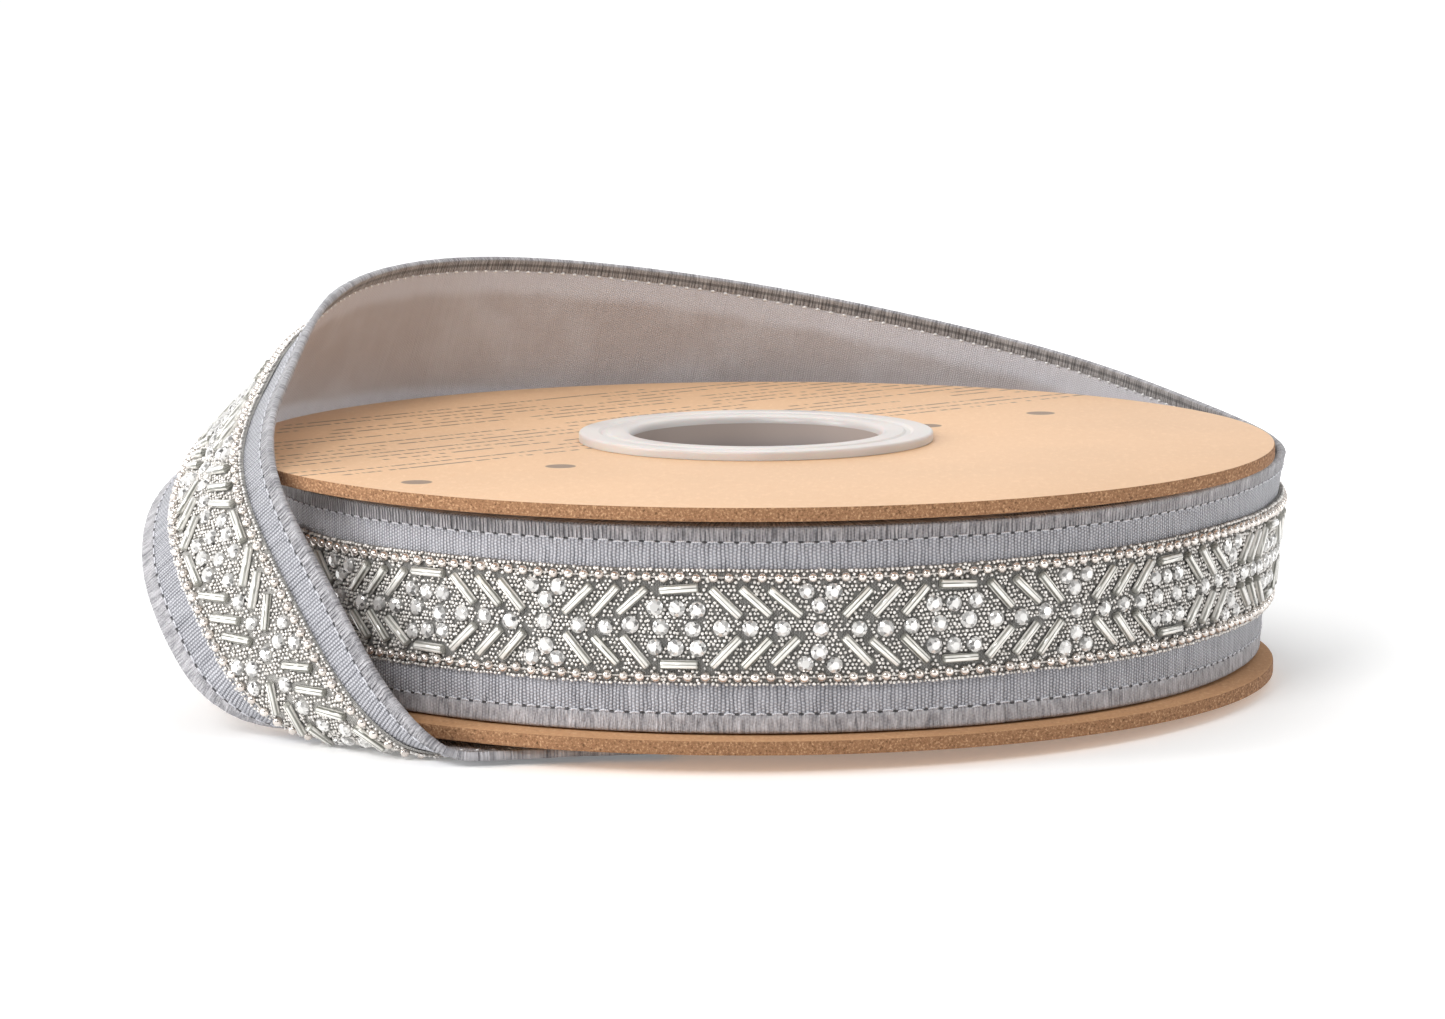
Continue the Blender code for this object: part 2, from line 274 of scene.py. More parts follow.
def ribbonFrame(s, v):
    # the outer face of the cloth at a flat place: its point, its direction along the ribbon and
    # its outward normal. On the roll the radius grows with the turn. On the loose end the station
    # is found whose share w of the way between both running lengths is s.
    s, v = (np.asarray(a, float) for a in np.broadcast_arrays(s, v))
    azimuth = ribbon["leavingAzimuth"] + np.degrees(np.minimum(s, 0) / ribbon["rollRadius"])
    radius = ribbon["rollRadius"] + ribbon["layerPitch"] * np.minimum(s, 0) / rollLength
    point = onSpool(polar(azimuth, radius, clothLow + v))
    along = polar(azimuth + 90, 1, 0) @ tilt[:3, :3].T
    normal = polar(azimuth, 1, 0) @ tilt[:3, :3].T
    loose = s > 0
    if loose.any():
        w = v[loose] / ribbon["width"]
        k = np.clip(s[loose], 0, tail["at"][-1])
        for _ in range(16):     # each pass moves k by what its running length still lacks
            run = ((1 - w) * np.interp(k, tail["at"], tail["lowerRun"])
                   + w * np.interp(k, tail["at"], tail["upperRun"]))
            k = np.clip(k + s[loose] - run, 0, tail["at"][-1])
        w = w[:, None]
        lower, upper = readTail("lower", k), readTail("upper", k)
        way = (1 - w) * readTail("lowerWay", k) + w * readTail("upperWay", k)
        out = unit(np.cross(way, upper - lower))
        point[loose] = lower + w * (upper - lower) + out * ribbon["solidThickness"] / 2
        along[loose] = unit(way)
        normal[loose] = out
    return point, along, normal


def roomBelow(point, normal):
    # how far a thing may rise from the cloth before it meets the surface beneath; a face that
    # doesn't look down counts as one that hardly does
    return point[..., 2] / np.maximum(-normal[..., 2], 0.02)


def liftOff(s, v, height):
    # a point at a height above the cloth's outer face, never beneath the surface it lies on
    point, _, normal = ribbonFrame(s, v)
    point = point + normal * np.broadcast_to(height, point.shape[:-1])[..., None]
    point[..., 2] = np.maximum(point[..., 2], floorGap)
    return point


print("ribbon path ready,", round(float(tailLength), 1), "mm of loose end")


# Shader helpers

class Signal:
    # one output of a shader node: sums, ramps and mixes of it are new nodes in the same tree
    def __init__(self, tree, socket):
        self.tree, self.socket = tree, socket

    def maths(self, operation, *others):
        # one of Blender's operations on numbers, and vector on three at once
        return addNode(self.tree, "ShaderNodeMath", dict(enumerate((self, *others))),
                       operation=operation)

    def __add__(self, other):
        return self.maths("ADD", other)

    def __sub__(self, other):
        return self.maths("SUBTRACT", other)

    def __mul__(self, other):
        return self.maths("MULTIPLY", other)

    def __truediv__(self, other):
        return self.maths("DIVIDE", other)

    def __abs__(self):
        return self.maths("ABSOLUTE")

    def fromMiddle(self):
        # distance from the middle of the whole step that the value is in, 0 to 0.5
        return abs(self.maths("FRACT") - 0.5)

    def ramp(self, low, high, toLow=0.0, toHigh=1.0, smooth=True):
        # goes from toLow to toHigh as the value goes from low to high, and no further
        return addNode(self.tree, "ShaderNodeMapRange", {
            "Value": self, "From Min": low, "From Max": high, "To Min": toLow, "To Max": toHigh,
        }, interpolation_type="SMOOTHSTEP" if smooth else "LINEAR")

    def mix(self, first, second):
        # the first colour where the value is 0 and the second where it is 1
        return addNode(self.tree, "ShaderNodeMix", {0: self, 6: first, 7: second}, 2,
                       data_type="RGBA")

    def vector(self, operation, *others, output=0):
        return addNode(self.tree, "ShaderNodeVectorMath", dict(enumerate((self, *others))), output,
                       operation=operation)

    def parts(self):
        node = addNode(self.tree, "ShaderNodeSeparateXYZ", {0: self}).socket.node
        return [Signal(self.tree, socket) for socket in node.outputs]

    def noise(self, scale, detail=2.0, roughness=0.5, output="Fac"):
        return addNode(self.tree, "ShaderNodeTexNoise", {
            "Vector": self, "Scale": scale, "Detail": detail, "Roughness": roughness}, output)


def feed(tree, socket, value):
    # links a signal into a node's input, or sets the input's own value
    if isinstance(value, Signal):
        tree.links.new(value.socket, socket)
    else:
        socket.default_value = (*value, 1) if socket.type == "RGBA" else value


def addNode(tree, kind, inputs=None, output=0, **properties):
    # a node with its properties set and its inputs fed; gives one of its outputs
    node = tree.nodes.new(kind)
    for key, value in properties.items():
        setattr(node, key, value)
    for key, value in (inputs or {}).items():
        feed(tree, node.inputs[key], value)
    return Signal(tree, node.outputs[output])


def feedByName(tree, node, values):
    # feeds inputs that are named in camelCase, such as coatWeight
    titles = {socket.name.replace(" ", "").lower(): socket for socket in node.inputs}
    for key, value in values.items():
        feed(tree, titles[key.lower()], value)


def newMaterial(name, colour, roughness, **sockets):
    # a material and its tree, with these values on its Principled surface
    material = bpy.data.materials.new(name)
    material.use_nodes = True
    tree = material.node_tree
    feedByName(tree, tree.nodes["Principled BSDF"],
               dict(baseColor=colour, roughness=roughness, **sockets))
    return material, tree


def dress(material, colour, roughness=None, height=None, distance=0.0):
    # feeds signals to a material's surface, the height through a bump
    tree = material.node_tree
    values = dict(baseColor=colour)
    if roughness is not None:
        values["roughness"] = roughness
    if height is not None:
        values["normal"] = addNode(tree, "ShaderNodeBump", {
            "Height": height, "Distance": distance, "Strength": 1.0})
    feedByName(tree, tree.nodes["Principled BSDF"], values)
    return material


def ownPlace(tree):
    return addNode(tree, "ShaderNodeTexCoord", output="Object")


def flatPlace(tree):
    return addNode(tree, "ShaderNodeUVMap", uv_map="flat")


def faceToneAndGlint(tree):
    return addNode(tree, "ShaderNodeAttribute", output="Fac", attribute_name="tint")


def newGroup(name, place, numbers, outputs):
    # a node group with a vector input for the place, number inputs with their values, and number
    # outputs; gives its tree and its inputs as signals
    tree = bpy.data.node_groups.new(name, "ShaderNodeTree")
    tree.interface.new_socket(name=place, in_out="INPUT", socket_type="NodeSocketVector")
    for title, value in numbers.items():
        socket = tree.interface.new_socket(name=title, in_out="INPUT",
                                           socket_type="NodeSocketFloat")
        socket.default_value = value
    for title in outputs:
        tree.interface.new_socket(name=title, in_out="OUTPUT", socket_type="NodeSocketFloat")
    given = tree.nodes.new("NodeGroupInput").outputs
    return tree, [Signal(tree, given[title]) for title in (place, *numbers)]


def closeGroup(tree, values):
    made = tree.nodes.new("NodeGroupOutput")
    for title, value in values.items():
        feed(tree, made.inputs[title], value)
    return tree


def useGroup(tree, group, **inputs):
    node = tree.nodes.new("ShaderNodeGroup")
    node.node_tree = group
    feedByName(tree, node, inputs)
    return [Signal(tree, socket) for socket in node.outputs]


black, white = (0.0, 0.0, 0.0), (1.0, 1.0, 1.0)
cloth = dict(alongStep=0.8, hemRise=0.16, wireRise=0.14, wireRadius=0.62, seamDip=0.13,
             puckerRise=0.12, stitchPitch=2.9, lowerSeam=3.6, upperSeam=35.0)
# Folds across the upper hem, tight as far as tightEnd and loose from looseStart on, both in
# millimetres along the ribbon; each fold is a dip in the bump and painted shade in the colour
gather = dict(pitch=0.80, uneven=1.6, depth=2.6, loose=0.2, tightEnd=-125.0, looseStart=-62.0)


def makeWeaveGroup():
    # ribbed weave: a rib is a half wave along s, its picks are short waves along v that swap from
    # rib to rib, and some ribs are paler slubs; hems lie closer and smoother, with creases across.
    # The Light output is painted light and shade: pale on the ribs' tops, dark between them and in
    # the creases and gathered folds
    tree, (flat, ribPitch, pickPitch, lowerSeam, upperSeam, stitchPitch) = newGroup(
        "ribbedWeave", "Flat", {
            "Rib Pitch": 0.72, "Pick Pitch": 0.31, "Lower Seam": cloth["lowerSeam"],
            "Upper Seam": cloth["upperSeam"], "Stitch Pitch": cloth["stitchPitch"],
        }, ["Height", "Light", "Hem", "Hole"])

    def stretched(scaleS, scaleV, detail):
        # noise about 0 with its own scale each way
        return flat.vector("MULTIPLY", (scaleS, scaleV, 1)).noise(1.0, detail) - 0.5

    bent = flat.noise(0.35, output="Color").vector("MULTIPLY_ADD", (0.6, 0.5, 0), flat).parts()
    wave = (bent[0] / ribPitch * np.pi).maths("SINE")
    chequer = wave * (bent[1] / pickPitch * np.pi).maths("SINE")
    weave = abs(wave) * 0.7 + chequer * 0.3
    slub = stretched(1.3, 0.09, 2.0) * 0.9

    s, v, _ = flat.parts()
    lowAway, highAway = lowerSeam - v, v - upperSeam
    inUpper = highAway.ramp(-0.2, 0.3)
    hem = lowAway.ramp(-0.2, 0.3).maths("MAXIMUM", inUpper)
    seamGap = abs(lowAway).maths("MINIMUM", abs(highAway))
    along, narrow = (s / stitchPitch).fromMiddle() * stitchPitch, seamGap * 2.6
    hole = (along * along + narrow * narrow).maths("SQRT").ramp(0.40, 0.75, 1.0, 0.0)
    crease = stretched(0.8, 0.20, 3.0) * 1.4 + stretched(3.0, 0.4, 2.0) * 1.5
    creased = crease * hem.maths("MAXIMUM", seamGap.ramp(0.3, 2.6, 1.0, 0.0) * 0.4)

    beat = s * (1 / gather["pitch"]) + stretched(0.5, 0.04, 1.0) * gather["uneven"]
    fold = beat.fromMiddle().ramp(0.08, 0.24, 1.0, 0.0)
    tight = s.ramp(gather["tightEnd"], gather["looseStart"], 1.0, gather["loose"])
    reach = (stretched(1.7, 0.0, 1.0) * 4.0 + highAway).ramp(0.4, 3.6, 1.0, 0.15)
    creased = creased - fold * tight * reach * inUpper * gather["depth"]
    woven = (weave + slub) * hem.ramp(0.0, 1.0, 1.0, 0.3, False)
    # Height feeds the bump; Light is the painted light and shade that the materials colour by
    return closeGroup(tree, {"Height": woven + creased * 1.5 - hole * 1.6,
                             "Light": woven + creased, "Hem": hem, "Hole": hole})


def makeFleckGroup():
    # paper board: long pale and dark fibres from stretched noise, and slow blotches
    tree, (place, fibreScale, blotchScale) = newGroup(
        "boardFibres", "Place", {"Fibre Scale": 900.0, "Blotch Scale": 25.0}, ["Fibre", "Blotch"])
    layers = [addNode(tree, "ShaderNodeMapping", {
        "Vector": place, "Rotation": (0, 0, turn), "Scale": (1, 0.35, 1),
    }).noise(fibreScale, 3.0, 0.65) for turn in (0.3, 1.9)]
    return closeGroup(tree, {"Fibre": (layers[0] + layers[1]) * 0.5,
                             "Blotch": place.noise(blotchScale, 4.0)})


printing = dict(turn=41.0, rowPitch=4.4, stroke=0.42, softness=0.25, firstRow=10.0, lastRow=82.0,
                dots=(-88.8, -54.3, 40.6, 72.2), dotRow=-6.5, dotRadius=2.9,
                ink=(0.10, 0.07, 0.05), strength=0.78)


def makePrintGroup():
    # plain print on the top disc: rows of dashes, with blank rows, and a few solid dots in a line.
    # A dash is where noise along its row is high, and a row is where v is near its middle
    tree, (place,) = newGroup("plainPrint", "Place", {}, ["Ink"])
    turned = addNode(tree, "ShaderNodeVectorRotate", {
        "Vector": place.vector("SUBTRACT", tuple(float(part) for part in shift)),
        "Angle": float(np.radians(-printing["turn"]))}, rotation_type="Z_AXIS")
    along, across, height = turned.vector("MULTIPLY", (1 / mm,) * 3).parts()
    row = (across / printing["rowPitch"]).maths("FLOOR")
    line = abs(across - (row + 0.5) * printing["rowPitch"]).ramp(
        printing["stroke"], printing["stroke"] + printing["softness"], 1.0, 0.0)

    def rowNoise(scale, offset):
        # noise along a row, which differs from row to row
        return addNode(tree, "ShaderNodeCombineXYZ", {
            0: along * scale + offset, 1: row * 9.7}).noise(1.0, 0.0)

    dashes = rowNoise(0.9, 3.0).ramp(0.40, 0.46) * rowNoise(0.035, 40.0).ramp(0.42, 0.44)
    ink = (line * dashes * across.maths("GREATER_THAN", printing["firstRow"])
           * across.maths("LESS_THAN", printing["lastRow"]))
    aside = across - printing["dotRow"]
    for spot in printing["dots"]:
        away = ((along - spot) * (along - spot) + aside * aside).maths("SQRT")
        ink = ink.maths("MAXIMUM", away.ramp(printing["dotRadius"] - 0.2,
                                             printing["dotRadius"] + 0.2, 1.0, 0.0))
    return closeGroup(tree, {
        "Ink": ink * height.maths("GREATER_THAN", spool["height"] - 1.5)})


weaveGroup = makeWeaveGroup()
fleckGroup = makeFleckGroup()
printGroup = makePrintGroup()

# light and hemLight are painted light on the threads' tops, dark and hemDark painted shade between
# threads and in creases and folds, and hole painted shade in the stitch holes
clothTones = dict(dark=(0.09, 0.093, 0.11), light=(0.61, 0.61, 0.655),
                  hemDark=(0.115, 0.113, 0.125), hemLight=(0.58, 0.565, 0.59),
                  hole=(0.025, 0.025, 0.03))


def makeClothFace():
    # grey ribbed faux silk with painted light and shade: pale where a thread lies on top, dark
    # between threads, in creases and folds, and painted shade in the holes at stitches
    material, tree = newMaterial("grey ribbed silk", clothTones["light"], 0.5, sheenWeight=0.3,
                                 sheenRoughness=0.35)
    height, light, hem, hole = useGroup(tree, weaveGroup, flat=flatPlace(tree))
    plain = light.ramp(-0.1, 1.0, smooth=False).mix(clothTones["dark"], clothTones["light"])
    hemmed = light.ramp(-0.45, 0.65, smooth=False).mix(clothTones["hemDark"],
                                                       clothTones["hemLight"])
    colour = (hole * 0.9).mix(hem.mix(plain, hemmed), clothTones["hole"])
    return dress(material, colour, light.ramp(-0.2, 1.0, 0.62, 0.42, False), height, 0.00024)


# plain is painted light coming through the cloth, and the brownish tone painted shade where the
# beaded band holds that light back
liningTones = dict(plain=(0.60, 0.575, 0.60), backed=(0.47, 0.415, 0.405),
                   cloudy=(0.60, 0.57, 0.58), hemDark=(0.10, 0.09, 0.087),
                   hemLight=(0.50, 0.468, 0.455), foldPlace=36.4)


def makeLining():
    # the cloth's back, with painted light and shade: paler where light comes through it, brownish
    # shade where the beaded band backs it, darker between threads and along the hem's fold
    material, tree = newMaterial("silk back", (0.4, 0.36, 0.35), 0.6, sheenWeight=0.2)
    flat = flatPlace(tree)
    height, light, hem, _ = useGroup(tree, weaveGroup, flat=flat, ribPitch=0.5, pickPitch=0.25)
    v = flat.parts()[1]
    cloud = flat.noise(0.07, 3.0)
    nudged = (cloud - 0.5) * 2.5 + v
    backed = nudged.ramp(7.6, 10.4) * nudged.ramp(28.6, 31.6, 1.0, 0.0)
    base = backed.mix(liningTones["plain"], liningTones["backed"])
    cloudy = cloud.ramp(0.42, 0.7, 0.0, 0.4).mix(base, liningTones["cloudy"])
    threads = light.ramp(-0.3, 1.0, 0.78, 1.05, False).mix(black, cloudy)
    turned = light.ramp(-0.45, 0.75, smooth=False).mix(liningTones["hemDark"],
                                                       liningTones["hemLight"])
    # painted shade along the fold of the turned hem
    fold = abs(v - liningTones["foldPlace"]).ramp(0.15, 0.45, 0.5, 1.0)
    return dress(material, hem.mix(threads, fold.mix(black, turned)), None,
                 cloud * 9.0 + height, 0.00012)


def makeBoard(name, tone, dark, pale, fibreScale, contrast, roughness, printed=False):
    # paper board: blotches between two tones, pale fibres and dark specks of an even contrast
    material, tree = newMaterial(name, tone, roughness)
    place = ownPlace(tree)
    fibre, blotch = useGroup(tree, fleckGroup, place=place, fibreScale=fibreScale)
    colour = blotch.ramp(0.3, 0.7).mix(tone, tuple(0.94 * part for part in tone))
    colour = fibre.ramp(0.50, 0.64, 0.0, contrast).mix(colour, pale)
    colour = fibre.ramp(0.34, 0.48, contrast, 0.0).mix(colour, dark)
    if printed:
        ink, = useGroup(tree, printGroup, place=place)
        colour = (ink * printing["strength"]).mix(colour, printing["ink"])
    return dress(material, colour, None, fibre, 0.00004 + 0.0001 * contrast)


def makePlastic(name, dark, pale):
    # the hub's milky plastic: soft clouds between two tones, more polished where it is dark
    material, tree = newMaterial(name, pale, 0.4, subsurfaceWeight=0.2, subsurfaceScale=0.002,
                                 coatWeight=0.1, coatRoughness=0.3)
    cloud = ownPlace(tree).noise(60.0, 4.0)
    return dress(material, cloud.ramp(0.3, 0.7).mix(dark, pale),
                 cloud.ramp(0.3, 0.7, 0.28, 0.5), cloud, 0.0001)


coreShade = dict(top=(0.42, 0.34, 0.30), deep=(0.14, 0.155, 0.185), depth=0.009)


def makeShadedCoreWall():
    # the core's wall seen through the hole: brownish at its mouth, and blue grey deeper down, which
    # is painted shade in the bore
    material, tree = newMaterial("core wall with painted shade", coreShade["deep"], 0.6)
    place = ownPlace(tree)
    cloud = place.noise(90.0, 3.0)
    top = float((spool["height"] + spool["topCollarRise"]) * mm)
    share = (cloud * 0.002 + place.parts()[2]).ramp(top - coreShade["depth"], top)
    return dress(material, share.mix(coreShade["deep"], coreShade["top"]), None, cloud, 0.0002)


def makeBead(name, dark, pale, roughness, metallic, **sockets):
    # a bead or stone between a dark and a pale tone by a number on each face, which is painted glints
    # on a stone's facets and a tone for each bead; and fine handling marks
    material, tree = newMaterial(name, pale, roughness, metallic=metallic, **sockets)
    marks = ownPlace(tree).noise(700.0)
    return dress(material, faceToneAndGlint(tree).mix(dark, pale),
                 marks.ramp(0.35, 0.7, roughness * 0.7, roughness * 1.5))


def makeBugleGlass():
    # silver lined glass tube with painted highlights for the studio's reflection in its square
    # lining: two pale stripes along the top with a dark line between them, and olive grey sides
    material, tree = newMaterial("silver lined bugles", (0.9, 0.9, 0.86), 0.18, metallic=0.1,
                                 coatWeight=1.0, coatRoughness=0.03)
    tint = faceToneAndGlint(tree)
    along, around, _ = flatPlace(tree).parts()
    turn = tint * 0.08 - 0.04 + around
    wide = turn.ramp(0.36, 0.40) * turn.ramp(0.485, 0.505, 1.0, 0.0)
    thin = turn.ramp(0.525, 0.545) * turn.ramp(0.60, 0.64, 1.0, 0.0)
    beside = abs(turn - 0.5)        # painted highlights for the lining's other faces
    edge = beside.ramp(0.19, 0.215) * beside.ramp(0.31, 0.345, 1.0, 0.0)
    paintedGlint = (wide + thin * 0.85 + edge * 0.85) * abs(along).ramp(0.90, 0.97, 1.0, 0.25)
    return dress(material, paintedGlint.mix(tint.mix((0.13, 0.13, 0.105), (0.36, 0.355, 0.32)),
                                      tint.mix((0.88, 0.86, 0.80), (1.0, 0.975, 0.925))))


def makeThread(name, tone):
    # a twisted thread: waves between its tone and a darker one, painted shade in the twist's grooves
    material, tree = newMaterial(name, tone, 0.6, sheenWeight=0.3)
    twist = addNode(tree, "ShaderNodeTexWave", {
        "Vector": ownPlace(tree), "Scale": 900.0, "Distortion": 2.0}, "Fac")
    return dress(material, twist.mix(tuple(0.7 * part for part in tone), tone), None, twist,
                 0.00005)


def makeGround():
    # the net that the beads are sewn to: a fine mesh, dark on the roll, which is painted shade in the
    # gaps between beads, and paler far along the loose end, which is painted light
    material, tree = newMaterial("bead ground", (0.2, 0.195, 0.185), 0.8)
    flat = flatPlace(tree)
    height, light, _, _ = useGroup(tree, weaveGroup, flat=flat, ribPitch=0.3, pickPitch=0.3)
    mesh = light.ramp(0.0, 0.8, smooth=False)
    # painted shade on the roll, painted light on the loose end
    onRoll = mesh.mix((0.12, 0.116, 0.108), (0.28, 0.272, 0.258))
    litOnLoop = mesh.mix((0.21, 0.203, 0.19), (0.50, 0.485, 0.46))
    colour = flat.parts()[0].ramp(150.0, 300.0).mix(onRoll, litOnLoop)
    return dress(material, colour, None, height, 0.0001)


clothFace, clothBack = makeClothFace(), makeLining()
boardFace = makeBoard("kraft face", (0.71, 0.438, 0.24), (0.66, 0.37, 0.19), (0.80, 0.52, 0.31),
                      900.0, 0.35, 0.46, printed=True)
# the flanges' inner faces: bare chipboard, browner than the kraft face, and darker as painted shade
# between the two flanges
bareBoardAndShade = makeBoard("bare board with painted shade", (0.54, 0.29, 0.14), (0.40, 0.21, 0.10), (0.64, 0.39, 0.21),
                      1500.0, 0.6, 0.9)
boardRim = makeBoard("cut board rim", (0.285, 0.142, 0.067), (0.095, 0.043, 0.018),
                     (0.51, 0.30, 0.16), 2300.0, 1.0, 0.95)
plastic = makePlastic("milky plastic", (0.575, 0.535, 0.51), (0.635, 0.59, 0.56))
shadedCoreWall = makeShadedCoreWall()
smallBead = makeBead("small silver beads", (0.70, 0.67, 0.63), (0.98, 0.945, 0.905), 0.28, 0.20,
                     coatWeight=0.6, coatRoughness=0.06)
roseBead = makeBead("rose silver beads", (0.62, 0.56, 0.515), (0.93, 0.87, 0.82), 0.20, 0.88)
bugleGlass = makeBugleGlass()
stoneGlass = makeBead("faceted stones", (0.085, 0.082, 0.08), (0.90, 0.885, 0.86), 0.07, 0.35,
                      coatWeight=1.0, coatRoughness=0.02)
hemThread = makeThread("grey sewing thread", (0.72, 0.72, 0.77))
paleThread = makeThread("pale sewing thread", (0.95, 0.93, 0.92))
beadThread = makeThread("bead thread", (0.70, 0.66, 0.62))
groundNet = makeGround()
print("materials ready")


# The cloth

def clothRise(s, v):
    # height of the cloth's surface above its plain face: a step at each hem, a rounded wire in
    # each edge, a dip along each seam, and soft puckers between stitches
    width = ribbon["width"]
    edge = np.minimum(v, width - v)
    seam = np.where(v < width / 2, v - cloth["lowerSeam"], cloth["upperSeam"] - v)
    hem = cloth["hemRise"] / (1 + np.exp(seam / 0.12))
    wire = cloth["wireRise"] * np.exp(-((edge - cloth["wireRadius"]) / 0.45) ** 2)
    dip = cloth["seamDip"] * np.exp(-(seam / 0.35) ** 2)
    swell = 0.5 + 0.5 * np.cos(2 * np.pi * s / cloth["stitchPitch"])
    pucker = cloth["puckerRise"] * (swell - 0.5) * np.exp(-(seam / 1.6) ** 2)
    inHem = 1 / (1 + np.exp(seam / 0.3))
    crease = 0.05 * np.sin(s * 1.31 + 2 * np.sin(s / 5.3)) * np.sin(s * 0.53 + 1) * inHem
    ease = 0.05 * np.sin(s / 9.1 + v / 5.0) + 0.04 * np.sin(s / 4.3 - v / 7.0) + crease
    return hem + wire - dip * swell + pucker + ease


def acrossPlaces():
    # places across the cloth, close together at the hems
    hemSteps = np.concatenate([np.linspace(0.4, 2.7, 6), np.linspace(3.1, 4.1, 5)])
    middle = np.linspace(5.6, ribbon["width"] - 5.6, 8)
    return np.concatenate([hemSteps, middle, ribbon["width"] - hemSteps[::-1]])


def makeRollCloth():
    # the wound roll: the outer face at each azimuth, then flat ends run in to the hub's sleeve,
    # with a low ridge for each wound layer, and a step where the loose end leaves
    v = acrossPlaces()
    inwardSteps = 13
    s = np.linspace(-rollLength, 0, int(rollLength / cloth["alongStep"]))[:, None]
    azimuth = ribbon["leavingAzimuth"] + np.degrees(s / ribbon["rollRadius"])
    radius = ribbon["rollRadius"] + ribbon["layerPitch"] * s / rollLength
    inward = radius + (boreRadius - radius) * np.linspace(0, 1, inwardSteps) ** 0.7 - 0.05
    inward[:, -1] = boreRadius
    drop = 0.05 + 0.35 * np.abs(np.sin(np.pi * (inward - radius) / ribbon["layerPitch"]))
    loops = np.concatenate([
        liftOff(s, v, clothRise(s, v)),
        onSpool(polar(azimuth, inward, clothLow + ribbon["width"] - drop)),
        onSpool(polar(azimuth, inward[:, ::-1], clothLow + drop[:, ::-1]))], axis=1)
    across = np.concatenate([v, np.full(2 * inwardSteps, 2.0)])
    return addTube("roll_cloth", loops, s, across, clothFace, "ribbon_roll")


def makeTailCloth():
    # the loose end: outer face, a rounded wired edge, inner face and the other edge, in one loop
    # of points at each place along it
    width, thick, edge = ribbon["width"], ribbon["clothThickness"], cloth["wireRadius"]
    v = acrossPlaces()
    s = np.linspace(0.0001, tailLength - 0.05, int(tailLength / cloth["alongStep"]))[:, None]
    turn = np.radians([50, 20, -20, -50])
    bulge, rise = edge * np.cos(turn), edge * np.sin(turn) - thick / 2
    loops = np.concatenate([
        liftOff(s, v, clothRise(s, v)),
        liftOff(s, width - edge + bulge, rise),
        liftOff(s, v[::-1], -thick - clothRise(s, v[::-1])),
        liftOff(s, edge - bulge, rise[::-1])], axis=1)
    sides = len(turn)
    across = np.concatenate([v, np.full(sides, width - 0.3), v[::-1], np.full(sides, 0.3)])
    isInner = np.zeros(len(across), int)
    isInner[len(v) + sides:2 * len(v) + sides - 1] = 1
    return addTube("tail_cloth", loops, s, across, [clothFace, clothBack],
                   "ribbon_tail", isInner)


makeRollCloth()
tailCloth = makeTailCloth()
print("cloth ready")


# The beaded band

band = dict(width=21.5, middle=19.7, repeat=50.9, firstStart=-10.1, netHeight=0.55,
            highBorder=9.0, lowBorder=-9.15, borderPitch=2.98, borderRadius=0.98,
            bugleLength=7.0, bugleRadius=0.84, stoneRadius=1.5, stoneHeight=1.25,
            leastStone=0.6, smallPitch=0.82, smallRadius=0.365, hiddenStart=56.0)
net = dict(inset=0.6, side=0.3, sideHeight=0.18, underside=0.10, columns=9, alongStep=2.2,
           weavePlace=20.0)     # where its middle is in the UV map, clear of the hems
# One repeat of the pattern, measured from the middle of a six-sided cell: each bugle and stone
# as (along, across, turn in degrees)
bugleChart = np.array([(0, 6.8, 0), (0, -6.8, 0)]
                      + [(side * away, up * 4.5, -side * up * 45) for side in (1, -1)
                         for up in (1, -1) for away in (8.35, 13.8, 19.0)], float)
stoneChart = np.array([(x, y, 0) for y in (3.4, -4.1) for x in (-4.6, -0.7, 3.3)]
                      + [(x, -0.2, 0) for x in (-18.9, -13.6, -8.9, -3.4, 2.3, 7.6, 12.8, 18.4, 25.2)]
                      + [(x, y, 0) for y in (6.4, -6.7) for x in (22.6, 27.8)]
                      + [(25.3, 4.1, 0), (25.3, -4.6, 0)], float)


def bandMiddle(s):
    # the band wanders a little up and down the ribbon, as it was sewn by hand
    return band["middle"] + 0.12 * np.sin(s / 23.0) + 0.10 * np.sin(s / 8.7 + 1.0)


def spreadChart(chart, start, end, jitter):
    # copies of a chart along a stretch, each mark nudged a little
    repeats = np.arange(np.ceil((start - band["firstStart"]) / band["repeat"]) - 1,
                        np.floor((end - band["firstStart"]) / band["repeat"]) + 2)
    s = band["firstStart"] + repeats[:, None] * band["repeat"] + chart[None, :, 0]
    s = s + dice.normal(0, jitter, s.shape)
    away = chart[None, :, 1] + dice.normal(0, jitter, s.shape)
    turn = chart[None, :, 2] + dice.normal(0, 2.5, s.shape)
    inside = (s > start + 2.5) & (s < end - 2.5)
    return s[inside], away[inside], turn[inside]


def borderPlaces(start, end, away, offset):
    s = np.arange(start + 1.2 + offset * band["borderPitch"], end - 1, band["borderPitch"])
    return s + dice.normal(0, 0.08, s.shape), away + dice.normal(0, 0.09, s.shape)


